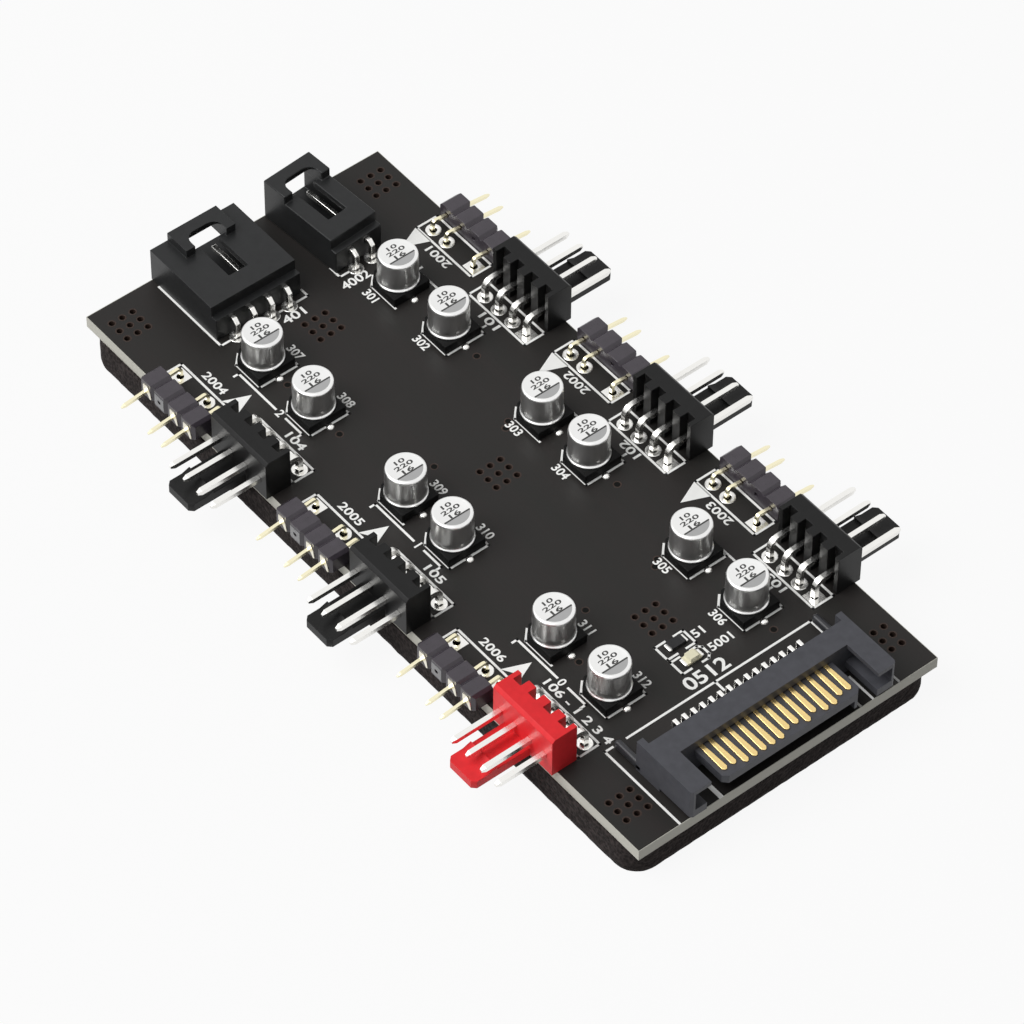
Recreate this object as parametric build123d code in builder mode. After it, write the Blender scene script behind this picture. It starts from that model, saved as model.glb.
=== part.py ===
"""Fan and lighting hub for a computer case: a populated circuit board on a foam pad.

Millimetres, +Z up. +X runs along the board to the power socket, +Y runs across it, and the
origin is the middle of the foam pad's underside.
"""
import os

from build123d import *

os.makedirs("parts", exist_ok=True)

# Board and foam pad
board_length = 100.0
board_width = 43.0
board_thickness = 1.6
pad_end_setback = 0.5
pad_side_margin = 0.3
pad_length = board_length - 2 * pad_end_setback
pad_width = board_width + 2 * pad_side_margin
pad_thickness = 4.2
pad_corner_radius = 3.3
board_top = pad_thickness + board_thickness

# Via patches: one near each corner and three along the middle of the board
via_diameter = 0.95
via_facets = 6
via_pitch = 1.5
via_rows = 3
via_edge_gap = 3.2
via_input_end_gap = 4.2
via_socket_end_gap = 5.6
via_middle = [(-0.317 * board_length, -0.95), (-0.0135 * board_length, 0.65), (0.261 * board_length, 0.65)]

# Square pins of the headers
pin_pitch = 2.54
pin_size = 0.64
pin_fit = 0.02
pin_hole = 0.95
small_bend = 0.45

# Port frames sit on the long edges: +Y of a frame points out of the board
port_pitch = 0.254 * board_length
light_port_shift = -6.5
fan_port_shift = 5.68

# Fan ports: four pins in a friction-lock housing
fan_pin_count = 4
fan_pin_height = 2.55
fan_pin_reach = 7.6
fan_tail_setback = 4.9
fan_bend = 1.0
fan_body_depth = 3.5
fan_body_overhang = 0.75
fan_body_height = 5.84
fan_top_chamfer = 0.4
fan_notch_width = 1.25
fan_notch_depth = 1.2
tongue_width = 4.6
tongue_shift = 0.92
tongue_reach = 8.65
tongue_thickness = 1.2
tongue_tip_chamfer = 0.5
lock_ridge_height = 0.4
lock_ridge_length = 1.1
lock_ridge_setback = 2.2

# Lighting ports: four positions, one of them empty
light_positions = 4
light_empty_position = 2
light_pin_size = 0.5
light_pin_height = 1.45
light_pin_drop = 0.95
light_pin_reach = 5.5
light_tail_setback = 2.9
light_body_depth = 2.87
light_body_overhang = 1.95
light_body_height = 2.45
light_corner_chamfer = 0.4
light_groove_depth = 0.4

# Signal inputs: shrouded housings with a latch bridge, measured from their pin row towards the mouth
fan_input_pins = 4
light_input_pins = 2
input_row_setback = 13.35
fan_input_shift = -5.85
light_input_shift = 8.95
light_input_yaw = 4.0
input_side_margin = 1.02
input_ledge_start = 0.85
input_ledge_depth = 0.9
input_ledge_height = 3.35
input_mouth = 13.5
input_height = 4.85
input_wall = 0.9
input_floor = 0.8
input_back_wall = 3.7
input_roof_edge = 3.2
input_slot_width = 2.75
input_pin_height = 2.5
input_pin_setback = 2.35
latch_height = 1.2
latch_leg = 1.3
latch_bar_depth = 1.64
latch_bar_thickness = 0.85
latch_tail = 0.55

# Power socket: fifteen contacts on a tongue between two guide arms
socket_shift = 0.1
socket_width = 29.3
socket_front = 0.4
socket_depth = 8.25
socket_roof_depth = 3.0
socket_height = 4.8
socket_fin_depth = 1.0
socket_fin_thickness = 0.85
key_arm_width = 2.65
plain_arm_width = 2.75
arm_chamfer = 0.3
key_arm_gap = 0.9
key_arm_floor = 2.0
plain_arm_gap = 0.5
plain_arm_floor = 1.6
plain_arm_lip = 0.5
arm_pocket_wall = 0.6
socket_tongue_left = 9.9
socket_tongue_right = 9.75
socket_tongue_setback = 0.2
socket_tongue_corner = 0.6
socket_tongue_thickness = 1.2
socket_key_width = 1.0
socket_key_drop = 1.3
contact_count = 15
contact_pitch = 1.27
contact_width = 0.92
contact_thickness = 0.2
contact_height = 3.6
contact_setback_long = 0.45
contact_setback_short = 1.05
contact_long_numbers = (3, 4, 6, 9, 10, 11, 12, 13)
contact_tip_chamfer = 0.3
contact_tail_reach = 1.5
contact_foot = 1.0

# Capacitors: aluminium can on a square base with two cut corners
can_diameter = 5.0
can_top = 5.4
neck_depth = 0.25
neck_height = 0.6
neck_facets = 24
base_size = 5.3
base_height = 1.3
base_corner = 1.2
terminal_width = 0.65
terminal_thickness = 0.2
terminal_reach = 0.65
capacitor_edge_gap = 11.6
capacitor_row = board_width / 2 - capacitor_edge_gap
capacitor_shares = [-0.314, -0.219, -0.049, 0.035, 0.214, 0.31]
capacitor_columns = [share * board_length for share in capacitor_shares]

# Status lamp and its series resistor, both lying across the board
led_place = (0.331 * board_length, 0.2)
led_length = 2.0
led_width = 1.25
led_foot_height = 0.35
led_lens_length = 1.3
led_height = 0.85
led_lens_taper = 4.0
resistor_place = (0.304 * board_length, 0.2)
resistor_length = 2.0
resistor_width = 1.25
resistor_height = 0.45
resistor_cap_length = 0.35
resistor_cap_height = 0.5

# Frames of the ports and inputs in plan
port_columns = [-port_pitch, 0.0, port_pitch]


def edge_frames(shift):
    """Frames along both long edges, numbered from the input end, far edge first."""
    far = [Location((x + shift, board_width / 2, 0)) for x in port_columns]
    near = [Location((x + shift, -board_width / 2, 0), (0, 0, 180)) for x in port_columns]
    return far + near


def row(count, pitch):
    """Places of a row of pins, centred on the frame."""
    return [(index - (count - 1) / 2) * pitch for index in range(count)]


fan_frames = edge_frames(fan_port_shift)
light_frames = edge_frames(light_port_shift)
input_row = -board_length / 2 + input_row_setback
fan_input_frame = Location((input_row, fan_input_shift, 0), (0, 0, 90))
light_input_frame = Location((input_row, light_input_shift, 0), (0, 0, 90 + light_input_yaw))
socket_frame = Location((board_length / 2, socket_shift, 0), (0, 0, -90))
lift = Location((0, 0, board_top))

fan_pin_places = row(fan_pin_count, pin_pitch)
light_places = row(light_positions, pin_pitch)
light_pin_places = [x for index, x in enumerate(light_places) if index != light_empty_position]
contact_places = row(contact_count, contact_pitch)
capacitor_places = [(x, side * capacitor_row) for side in (1, -1) for x in capacitor_columns]


def save(part, name):
    """Label one finished piece and write it."""
    part.label = name
    export_step(part, f"parts/{name}.step")


def bent_pins(places, size, reach, height, drop, setback, bend):
    """Square pins that run out of a housing, falling by the drop, and turn down into the board."""
    with BuildPart() as pins:
        with BuildSketch(*[Plane.YZ.offset(x - size / 2) for x in places]):
            with BuildLine():
                Polyline(
                    (reach, height - drop),
                    (-setback + bend, height),
                    (-setback, height - bend),
                    (-setback, -board_thickness),
                )
            trace(line_width=size)
        extrude(amount=size)
    return pins.part


# Foam pad
with BuildPart() as foam_base_pad:
    with BuildSketch():
        RectangleRounded(pad_length, pad_width, pad_corner_radius)
    extrude(amount=pad_thickness)
save(foam_base_pad.part, "foam_base_pad")

# Circuit board with open vias and pin holes
via_y = board_width / 2 - via_edge_gap
via_corners = [
    (x, side * via_y)
    for x in (-board_length / 2 + via_input_end_gap, board_length / 2 - via_socket_end_gap)
    for side in (1, -1)
]
with BuildPart() as circuit_board:
    with BuildSketch(Plane.XY.offset(pad_thickness)):
        Rectangle(board_length, board_width)
        with Locations(*via_corners, *via_middle):
            with GridLocations(via_pitch, via_pitch, via_rows, via_rows):
                RegularPolygon(via_diameter / 2, via_facets, mode=Mode.SUBTRACT)
        with Locations(*fan_frames):
            with Locations(*[(x, -fan_tail_setback) for x in fan_pin_places]):
                Rectangle(pin_hole, pin_hole, mode=Mode.SUBTRACT)
        with Locations(*light_frames):
            with Locations(*[(x, -light_tail_setback) for x in light_pin_places]):
                Rectangle(pin_hole, pin_hole, mode=Mode.SUBTRACT)
        with Locations(fan_input_frame):
            with Locations(*[(x, 0) for x in row(fan_input_pins, pin_pitch)]):
                Rectangle(pin_hole, pin_hole, mode=Mode.SUBTRACT)
        with Locations(light_input_frame):
            with Locations(*[(x, 0) for x in row(light_input_pins, pin_pitch)]):
                Rectangle(pin_hole, pin_hole, mode=Mode.SUBTRACT)
    extrude(amount=board_thickness)
save(circuit_board.part, "circuit_board")

# Fan port housing: block with pin channels at the back and a lock tongue in front
fan_width = fan_pin_count * pin_pitch
fan_body_back = fan_body_overhang - fan_body_depth
ridge_back = tongue_reach - lock_ridge_setback - lock_ridge_length
with BuildPart() as fan_housing:
    with BuildSketch():
        with Locations((0, fan_body_back)):
            Rectangle(fan_width, fan_body_depth, align=(Align.CENTER, Align.MIN))
        with Locations(*[(x, fan_body_back) for x in fan_pin_places]):
            Rectangle(fan_notch_width, fan_notch_depth, align=(Align.CENTER, Align.MIN), mode=Mode.SUBTRACT)
    extrude(amount=fan_body_height)
    front_edge = fan_housing.faces().sort_by(Axis.Z)[-1].edges().sort_by(Axis.Y)[-1]
    chamfer(front_edge, fan_top_chamfer)
    with BuildSketch() as tongue:
        with Locations((tongue_shift, 0)):
            Rectangle(tongue_width, tongue_reach, align=(Align.CENTER, Align.MIN))
        chamfer(tongue.vertices().group_by(Axis.Y)[-1], tongue_tip_chamfer)
    extrude(amount=tongue_thickness)
    with BuildSketch(Plane.YZ.offset(tongue_shift - tongue_width / 2)):
        with BuildLine():
            Polyline(
                (ridge_back, tongue_thickness),
                (ridge_back + lock_ridge_length, tongue_thickness),
                (ridge_back, tongue_thickness + lock_ridge_height),
                close=True,
            )
        make_face()
    extrude(amount=tongue_width)
    with BuildSketch(Plane.XZ):
        with Locations(*[(x, fan_pin_height) for x in fan_pin_places]):
            Rectangle(pin_size + 2 * pin_fit, pin_size + 2 * pin_fit)
    extrude(amount=fan_body_depth, both=True, mode=Mode.SUBTRACT)

fan_pins = bent_pins(fan_pin_places, pin_size, fan_pin_reach, fan_pin_height, 0, fan_tail_setback, fan_bend)
for number, frame in enumerate(fan_frames, start=1):
    save(fan_housing.part.moved(lift * frame), f"fan_port_{number}_housing")
    save(fan_pins.moved(lift * frame), f"fan_port_{number}_pins")

# Lighting port body: snap-off strip of four chamfered segments
light_body_middle = light_body_overhang - light_body_depth / 2
light_pin_run = (light_pin_reach, light_pin_height, light_pin_drop, light_tail_setback, small_bend)
with BuildSketch() as light_segment:
    Rectangle(pin_pitch, light_body_depth)
    chamfer(light_segment.vertices().group_by(Axis.Y)[-1], light_corner_chamfer)
with BuildPart() as light_body:
    with BuildSketch():
        with Locations(*[(x, light_body_middle) for x in light_places]):
            add(light_segment.sketch)
    extrude(amount=light_body_height)
    with BuildSketch(Plane.XZ):
        with Locations(*[(x, light_body_height) for x in row(light_positions + 1, pin_pitch)]):
            RegularPolygon(light_groove_depth, 4)
    extrude(amount=light_body_depth, both=True, mode=Mode.SUBTRACT)
    add(bent_pins(light_places, light_pin_size + 2 * pin_fit, *light_pin_run), mode=Mode.SUBTRACT)

light_pins = bent_pins(light_pin_places, light_pin_size, *light_pin_run)
for number, frame in enumerate(light_frames, start=1):
    save(light_body.part.moved(lift * frame), f"light_port_{number}_body")
    save(light_pins.moved(lift * frame), f"light_port_{number}_pins")


def input_housing(pin_count):
    """Shroud with a slotted roof and a latch bridge over its mouth."""
    width = pin_count * pin_pitch + 2 * input_side_margin
    body_start = input_ledge_start + input_ledge_depth
    cavity_start = input_ledge_start + input_back_wall
    roof_end = input_mouth - input_roof_edge
    cavity_top = input_height - input_wall
    latch_width = light_input_pins * pin_pitch + 2 * input_side_margin
    latch_top = input_height + latch_height
    window_width = latch_width - 2 * latch_leg
    latch_back = roof_end - latch_tail
    past_mouth = input_mouth + input_wall
    above_latch = latch_top + input_wall
    with BuildPart() as housing:
        with BuildSketch(Plane.YZ.offset(-width / 2)):
            with BuildLine():
                Polyline(
                    (input_ledge_start, 0),
                    (input_mouth, 0),
                    (input_mouth, input_height),
                    (body_start, input_height),
                    (body_start, input_ledge_height),
                    (input_ledge_start, input_ledge_height),
                    close=True,
                )
            make_face()
        extrude(amount=width)
        with BuildSketch(Plane.XY.offset(input_height)):
            with Locations((0, input_mouth)):
                Rectangle(latch_width, input_roof_edge + latch_tail, align=(Align.CENTER, Align.MAX))
        extrude(amount=latch_height)
        with BuildSketch(Plane.XY.offset(input_floor)):
            with Locations((0, cavity_start)):
                Rectangle(width - 2 * input_wall, input_mouth - cavity_start, align=(Align.CENTER, Align.MIN))
        extrude(amount=cavity_top - input_floor, mode=Mode.SUBTRACT)
        with BuildSketch(Plane.XY.offset(input_floor)):
            with Locations((0, cavity_start)):
                Rectangle(input_slot_width, roof_end - cavity_start, align=(Align.CENTER, Align.MIN))
        extrude(amount=input_height, mode=Mode.SUBTRACT)
        with BuildSketch(Plane.YZ.offset(-window_width / 2)):
            with BuildLine():
                Polyline(
                    (roof_end, input_floor),
                    (past_mouth, input_floor),
                    (past_mouth, latch_top - latch_bar_thickness),
                    (input_mouth - latch_bar_depth, latch_top - latch_bar_thickness),
                    (input_mouth - latch_bar_depth, above_latch),
                    (latch_back, above_latch),
                    (latch_back, input_height),
                    (roof_end, input_height),
                    close=True,
                )
            make_face()
        extrude(amount=window_width, mode=Mode.SUBTRACT)
        with BuildSketch(Plane.XZ.offset(-input_ledge_start)):
            with Locations(*[(x, input_pin_height) for x in row(pin_count, pin_pitch)]):
                Rectangle(pin_size + 2 * pin_fit, pin_size + 2 * pin_fit)
        extrude(amount=-input_back_wall, mode=Mode.SUBTRACT)
    return housing.part


input_pin_reach = input_mouth - input_pin_setback
for name, count, frame in (
    ("fan_signal_input", fan_input_pins, fan_input_frame),
    ("light_signal_input", light_input_pins, light_input_frame),
):
    pins = bent_pins(row(count, pin_pitch), pin_size, input_pin_reach, input_pin_height, 0, 0, small_bend)
    save(input_housing(count).moved(lift * frame), f"{name}_housing")
    save(pins.moved(lift * frame), f"{name}_pins")

# Power socket housing: roofed back, two guide arms, and the tongue that carries the contacts
socket_back = socket_front - socket_depth
socket_mouth = socket_back + socket_roof_depth
socket_half = socket_width / 2
tongue_surface = contact_height - contact_thickness
tongue_bottom = tongue_surface - socket_tongue_thickness
tongue_span = socket_tongue_left + socket_tongue_right
socket_tongue_reach = socket_front - socket_tongue_setback - socket_mouth
key_pocket_height = socket_height - arm_pocket_wall - key_arm_floor
plain_pocket_height = socket_height - arm_pocket_wall - plain_arm_floor
contact_slit = (contact_count - 1) * contact_pitch + contact_width + 2 * pin_fit
with BuildPart() as power_socket_housing:
    with BuildSketch() as socket_plan:
        with Locations((0, socket_back)):
            Rectangle(socket_width, socket_roof_depth, align=(Align.CENTER, Align.MIN))
        with Locations((-socket_half, socket_mouth)):
            Rectangle(key_arm_width, socket_depth - socket_roof_depth, align=(Align.MIN, Align.MIN))
        with Locations((socket_half, socket_mouth)):
            Rectangle(plain_arm_width, socket_depth - socket_roof_depth, align=(Align.MAX, Align.MIN))
        with Locations((-socket_half, socket_back)):
            Rectangle(socket_fin_thickness, socket_fin_depth, align=(Align.MIN, Align.MAX))
        with Locations((socket_half, socket_back)):
            Rectangle(socket_fin_thickness, socket_fin_depth, align=(Align.MAX, Align.MAX))
        front_corners = socket_plan.vertices().group_by(Axis.Y)[-1]
        chamfer([front_corners.sort_by(Axis.X)[0], front_corners.sort_by(Axis.X)[-1]], arm_chamfer)
    extrude(amount=socket_height)
    with BuildSketch(Plane.XY.offset(tongue_bottom)) as tongue_plan:
        with Locations((-socket_tongue_left, socket_mouth)):
            Rectangle(tongue_span, socket_tongue_reach, align=(Align.MIN, Align.MIN))
        chamfer(tongue_plan.vertices().group_by(Axis.Y)[-1], socket_tongue_corner)
    extrude(amount=socket_tongue_thickness)
    with BuildSketch(Plane.XY.offset(tongue_bottom)) as key_plan:
        with Locations((-socket_tongue_left, socket_mouth)):
            Rectangle(socket_key_width, socket_tongue_reach, align=(Align.MIN, Align.MIN))
        chamfer(key_plan.vertices().group_by(Axis.Y)[-1].sort_by(Axis.X)[0], socket_tongue_corner)
    extrude(amount=-socket_key_drop)
    with BuildSketch(Plane.XZ.offset(-socket_front)):
        with Locations((key_arm_width - socket_half, key_arm_floor)):
            Rectangle(key_arm_width - arm_pocket_wall, key_pocket_height, align=(Align.MAX, Align.MIN))
        with Locations((key_arm_width - socket_half, 0)):
            Rectangle(key_arm_width, key_arm_gap, align=(Align.MAX, Align.MIN))
        with Locations((socket_half - plain_arm_width, plain_arm_floor)):
            Rectangle(plain_arm_width - arm_pocket_wall, plain_pocket_height, align=(Align.MIN, Align.MIN))
        with Locations((socket_half - plain_arm_width, 0)):
            Rectangle(plain_arm_width, plain_arm_gap, align=(Align.MIN, Align.MIN))
            Rectangle(plain_arm_lip, plain_arm_floor, align=(Align.MIN, Align.MIN))
    extrude(amount=socket_depth - socket_roof_depth, mode=Mode.SUBTRACT)
    with BuildSketch(Plane.XZ.offset(-socket_mouth)):
        with Locations((0, contact_height - contact_thickness / 2)):
            Rectangle(contact_slit, contact_thickness + 2 * pin_fit)
    extrude(amount=socket_roof_depth, mode=Mode.SUBTRACT)
save(power_socket_housing.part.moved(lift * socket_frame), "power_socket_housing")

# Power contacts: flat blades on the tongue, through the back, bent down to feet on the board
contact_line = contact_height - contact_thickness / 2
contact_bend = socket_back - contact_tail_reach
with BuildPart() as power_socket_contacts:
    for long_one in (True, False):
        planes = [
            Plane.YZ.offset(x - contact_width / 2)
            for number, x in enumerate(contact_places, start=1)
            if (number in contact_long_numbers) == long_one
        ]
        setback = contact_setback_long if long_one else contact_setback_short
        with BuildSketch(*planes):
            with BuildLine():
                Polyline(
                    (socket_front - setback, contact_line),
                    (contact_bend, contact_line),
                    (contact_bend, contact_thickness / 2),
                    (contact_bend - contact_foot, contact_thickness / 2),
                )
            trace(line_width=contact_thickness)
        extrude(amount=contact_width)
    upright = power_socket_contacts.edges().filter_by(Axis.Z)
    tips = upright.filter_by_position(Axis.Y, socket_mouth, socket_front)
    chamfer(tips, contact_tip_chamfer)
save(power_socket_contacts.part.moved(lift * socket_frame), "power_socket_contacts")

# Capacitor can: round wall over a narrower crimped neck
can_radius = can_diameter / 2
with BuildPart() as capacitor_can:
    with BuildSketch(Plane.XY.offset(base_height)):
        RegularPolygon(can_radius - neck_depth, neck_facets)
    extrude(amount=neck_height)
    with BuildSketch(Plane.XY.offset(base_height + neck_height)):
        Circle(can_radius)
    extrude(amount=can_top - base_height - neck_height)

# Capacitor base plate, cut at the two corners that mark its polarity
with BuildPart() as capacitor_base:
    with BuildSketch() as base_plan:
        Rectangle(base_size, base_size)
        chamfer(base_plan.vertices().group_by(Axis.X)[0], base_corner)
    extrude(amount=base_height)

for number, place in enumerate(capacitor_places, start=1):
    spot = lift * Location((*place, 0))
    save(capacitor_can.part.moved(spot), f"capacitor_{number:02d}_can")
    save(capacitor_base.part.moved(spot), f"capacitor_{number:02d}_base")

# Capacitor terminals: one flat foot on each side of every base
with BuildPart() as capacitor_terminals:
    with BuildSketch(Plane.XY.offset(board_top)):
        with Locations(*capacitor_places):
            with Locations((base_size / 2, 0)):
                Rectangle(terminal_reach, terminal_width, align=(Align.MIN, Align.CENTER))
            with Locations((-base_size / 2, 0)):
                Rectangle(terminal_reach, terminal_width, align=(Align.MAX, Align.CENTER))
    extrude(amount=terminal_thickness)
save(capacitor_terminals.part, "capacitor_terminals")

# Status lamp: terminal plate with a raised lens
with BuildPart() as status_led:
    with BuildSketch(Plane.XY.offset(board_top)):
        with Locations(led_place):
            Rectangle(led_width, led_length)
    extrude(amount=led_foot_height)
    with BuildSketch(Plane.XY.offset(board_top)):
        with Locations(led_place):
            Rectangle(led_width, led_lens_length)
    extrude(amount=led_height, taper=led_lens_taper)
save(status_led.part, "status_led")

# Series resistor: chip with end caps a little thicker than its middle
resistor_cap_shift = (resistor_length - resistor_cap_length) / 2
with BuildPart() as led_resistor:
    with BuildSketch(Plane.XY.offset(board_top)):
        with Locations(resistor_place):
            Rectangle(resistor_width, resistor_length)
        with Locations(resistor_place):
            with Locations((0, resistor_cap_shift), (0, -resistor_cap_shift)):
                Rectangle(resistor_width, resistor_cap_length, mode=Mode.SUBTRACT)
    extrude(amount=resistor_height)
    with BuildSketch(Plane.XY.offset(board_top)):
        with Locations(resistor_place):
            with Locations((0, resistor_cap_shift), (0, -resistor_cap_shift)):
                Rectangle(resistor_width, resistor_cap_length)
    extrude(amount=resistor_cap_height)
save(led_resistor.part, "led_resistor")
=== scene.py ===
"""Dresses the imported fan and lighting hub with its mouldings, pins, cans, marking and foam."""
import math

import bmesh
import bpy
from bpy.props import FloatProperty, FloatVectorProperty, IntProperty, PointerProperty
from mathutils import Matrix, Vector, noise


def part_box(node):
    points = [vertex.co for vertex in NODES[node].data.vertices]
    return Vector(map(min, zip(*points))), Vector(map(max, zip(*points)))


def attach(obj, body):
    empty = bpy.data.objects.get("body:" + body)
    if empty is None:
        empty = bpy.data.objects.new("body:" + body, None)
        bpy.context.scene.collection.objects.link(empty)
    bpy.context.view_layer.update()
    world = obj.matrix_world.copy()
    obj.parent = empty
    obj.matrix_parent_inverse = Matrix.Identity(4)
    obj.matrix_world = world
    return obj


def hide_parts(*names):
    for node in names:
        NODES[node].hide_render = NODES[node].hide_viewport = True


bl_info = {
    "name": "Fan and lighting hub",
    "version": (1, 0, 0),
    "blender": (4, 5, 0),
    "location": "3D View > Sidebar > Hub",
    "description": "Dresses the packed hub: mouldings, pins, cans, marking and foam",
    "category": "Object",
}

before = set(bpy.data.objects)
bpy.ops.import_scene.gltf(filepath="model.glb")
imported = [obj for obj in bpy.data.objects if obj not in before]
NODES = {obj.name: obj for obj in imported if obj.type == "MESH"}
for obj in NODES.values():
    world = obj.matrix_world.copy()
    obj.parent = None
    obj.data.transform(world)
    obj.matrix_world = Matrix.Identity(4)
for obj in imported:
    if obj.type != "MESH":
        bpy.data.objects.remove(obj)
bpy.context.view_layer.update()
BOARD_LOW, BOARD_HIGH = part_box("circuit_board")
BOARD_TOP = BOARD_HIGH.z
BOARD_THICKNESS = BOARD_HIGH.z - BOARD_LOW.z
HALF_WIDTH = BOARD_HIGH.y

MM = 0.001
MERGE = 0.002 * MM
BODY = "root"
PORTS = range(1, 7)
RED_PORT = 6
CAPACITORS = range(1, 13)
LIGHT_PIN_COLUMNS = (-3.81, -1.27, 3.81)
FAN_PIN_COLUMNS = (-3.81, -1.27, 1.27, 3.81)


def length(label, text, millimetres):
    """A distance property, stored in metres."""
    return FloatProperty(
        name=label, description=text, default=millimetres * MM, min=0.0, precision=5,
        subtype="DISTANCE", unit="LENGTH",
    )


def tint(label, text, red, green, blue):
    """A colour property in linear light."""
    return FloatVectorProperty(
        name=label, description=text, default=(red, green, blue, 1.0), min=0.0, max=1.0, size=4,
        subtype="COLOR",
    )


class HubSizes(bpy.types.PropertyGroup):
    """Sizes of the details that the dressing adds."""

    edge_round: length("Edge rounding", "Rounding of the moulded edges", 0.1)
    window_round: length("Window corner", "Rounding of the latch windows' inner corners", 1.3)
    pin_bend: length("Pin bend", "Inner radius of the fan pins' bend", 0.68)
    light_bend: length("Lighting pin bend", "Inner radius of the lighting pins' bend", 0.3)
    fan_pin: length("Fan pin", "Side of a square fan pin", 0.64)
    light_pin: length("Lighting pin", "Side of a square lighting pin", 0.4)
    pin_point: length("Pin point", "Length of the tapered pin end", 0.55)
    light_rise: length("Lighting pin height", "Height of a lighting pin at its bend over the board", 1.45)
    light_drop: length("Lighting pin drop", "How far a lighting pin falls from its bend to its end", 0.95)
    # Thickness of the painted highlight plate beside each lighting pin.
    collar: length("Collar", "Thickness of the plate beside a lighting pin", 0.1)
    line_width: length("Marking line", "Width of the printed lines", 0.29)
    ink: length("Ink", "Thickness of the printed marking", 0.02)
    can_ink: length("Can ink", "Thickness of the print on the cans", 0.012)
    pad_outer: length("Pad", "Outer radius of a round pad", 0.98)
    pad_hole: length("Pad hole", "Radius of the hole in a pad", 0.46)
    pad_rise: length("Pad rise", "Thickness of a plated pad", 0.05)
    pad_barrel: length("Pad barrel", "Depth of the plating down a pad's hole", 0.6)
    via_outer: length("Via ring", "Outer radius of a via's ring", 0.52)
    via_hole: length("Via hole", "Radius of a via's hole", 0.37)
    via_rise: length("Via rise", "Height of a via's ring over the mask", 0.015)
    bead: length("Solder bead", "Radius of the solder bead at a capacitor's terminal", 0.5)
    foam_rough: length("Foam roughness", "Depth of the foam's torn cells along its cut sides", 0.1)
    can_steps: IntProperty(name="Can steps", description="Steps round a can", default=56, min=12, max=128)


class HubColours(bpy.types.PropertyGroup):
    """Colours of the finishes."""

    foam: tint("Foam", "Brownish black foam", 0.027, 0.022, 0.0212)
    mask: tint("Solder mask", "Dark grey solder mask", 0.0155, 0.0162, 0.0145)
    mask_warm: tint("Warm mask", "Brownish cast of the solder mask", 0.021, 0.017, 0.0165)
    via: tint("Via ring", "Dull copper under the mask round a via", 0.04, 0.026, 0.021)
    core: tint("Board core", "Bare glass fibre at the board's edge", 0.54, 0.53, 0.47)
    marking: tint("Marking", "White printed marking", 0.95, 0.95, 0.93)
    inputs: tint("Input housings", "Black moulding of the signal inputs", 0.016, 0.0165, 0.017)
    socket: tint("Power socket", "Blue-grey moulding of the power socket", 0.06, 0.061, 0.07)
    black: tint("Fan housings", "Black moulding of the fan ports", 0.0075, 0.0075, 0.0075)
    red: tint("Red housing", "Red moulding of the marked fan port", 0.78, 0.03, 0.036)
    strip: tint("Lighting bodies", "Violet-grey moulding of the lighting ports", 0.043, 0.036, 0.045)
    tin: tint("Tin", "Bright tin plate", 0.9, 0.89, 0.86)
    gold: tint("Gold", "Gold plate of the contacts", 0.88, 0.66, 0.29)
    pale_gold: tint("Pale gold", "Thin gold plate of the lighting pins", 0.93, 0.87, 0.62)
    # Colour of the painted highlight plate beside each lighting pin.
    collar: tint("Collar", "Cream plate beside a lighting pin", 0.9, 0.86, 0.74)
    # Lighter grey for the unused position's face: painted light, the face lit from the front.
    blank: tint("Blank face", "Pale grey face of an unused lighting position", 0.2, 0.2, 0.205)
    aluminium: tint("Aluminium", "Drawn aluminium", 0.86, 0.86, 0.85)
    lens: tint("Lens", "Pale yellow lamp resin", 0.83, 0.79, 0.58)
    chip: tint("Chip", "Dark chip glaze", 0.02, 0.02, 0.021)
    print: tint("Can print", "Dark print on the cans", 0.07, 0.07, 0.068)
    segment: tint("Can segment", "Grey printed segment of the cans", 0.47, 0.47, 0.47)
    floor: tint("Floor", "Plain pale floor", 0.58, 0.58, 0.58)


def angle(label, text, degrees):
    """An angle property, stored in radians."""
    return FloatProperty(name=label, description=text, default=math.radians(degrees), subtype="ANGLE")


def amount(label, text, value):
    """A plain number that is never negative."""
    return FloatProperty(name=label, description=text, default=value, min=0.0)


class HubStage(bpy.types.PropertyGroup):
    """Camera and light of the stage."""

    azimuth: angle("Azimuth", "Camera's turn about the vertical", 50.53)
    elevation: angle("Elevation", "Camera's height angle", 49.2)
    roll: angle("Roll", "Camera's roll", 0.56)
    distance: length("Distance", "Camera's distance from the board's middle", 658.53)
    right: length("Right", "Camera's sideways place", 1.187)
    down: length("Down", "Camera's drop along its own up axis", 3.274)
    lens: amount("Lens", "Focal length in millimetres", 204.56)
    world: amount("World light", "Strength of the even surround", 0.18)
    key: amount("Key light", "Power of the soft lamp in watts", 10.0)
    key_place: FloatVectorProperty(
        name="Key place", description="Where the soft lamp hangs", default=(-0.2, -0.55, 0.8),
        subtype="TRANSLATION",
    )
    key_size: length("Key size", "Diameter of the soft lamp", 900.0)
    floor_white: amount("Floor white", "Share of plain white in the seen floor", 0.92)


# Node groups and materials

PLATE_GLOSS = (0.16, 0.28)
SOLDER_GLOSS = (0.2, 0.36)
SATIN_GLOSS = (0.3, 0.4)
HOUSING_GLOSS = (0.36, 0.46)
GRAIN_DEPTH = 0.05 * MM
BROAD_SHARE = 0.12
METAL_SCALE = 4000.0
METAL_BUMP = 0.08
METAL_DARK = 0.93
SHADER_NAMES = {"specular": "Specular IOR Level", "metallic": "Metallic", "roughness": "Roughness"}
TONE_INPUTS = ("Colour", "Second colour", "Scale", "Smoothest", "Roughest")


def feed(tree, socket, value):
    """Links a socket to an output, or sets its constant."""
    if isinstance(value, bpy.types.NodeSocket):
        tree.links.new(value, socket)
    else:
        socket.default_value = value


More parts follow.
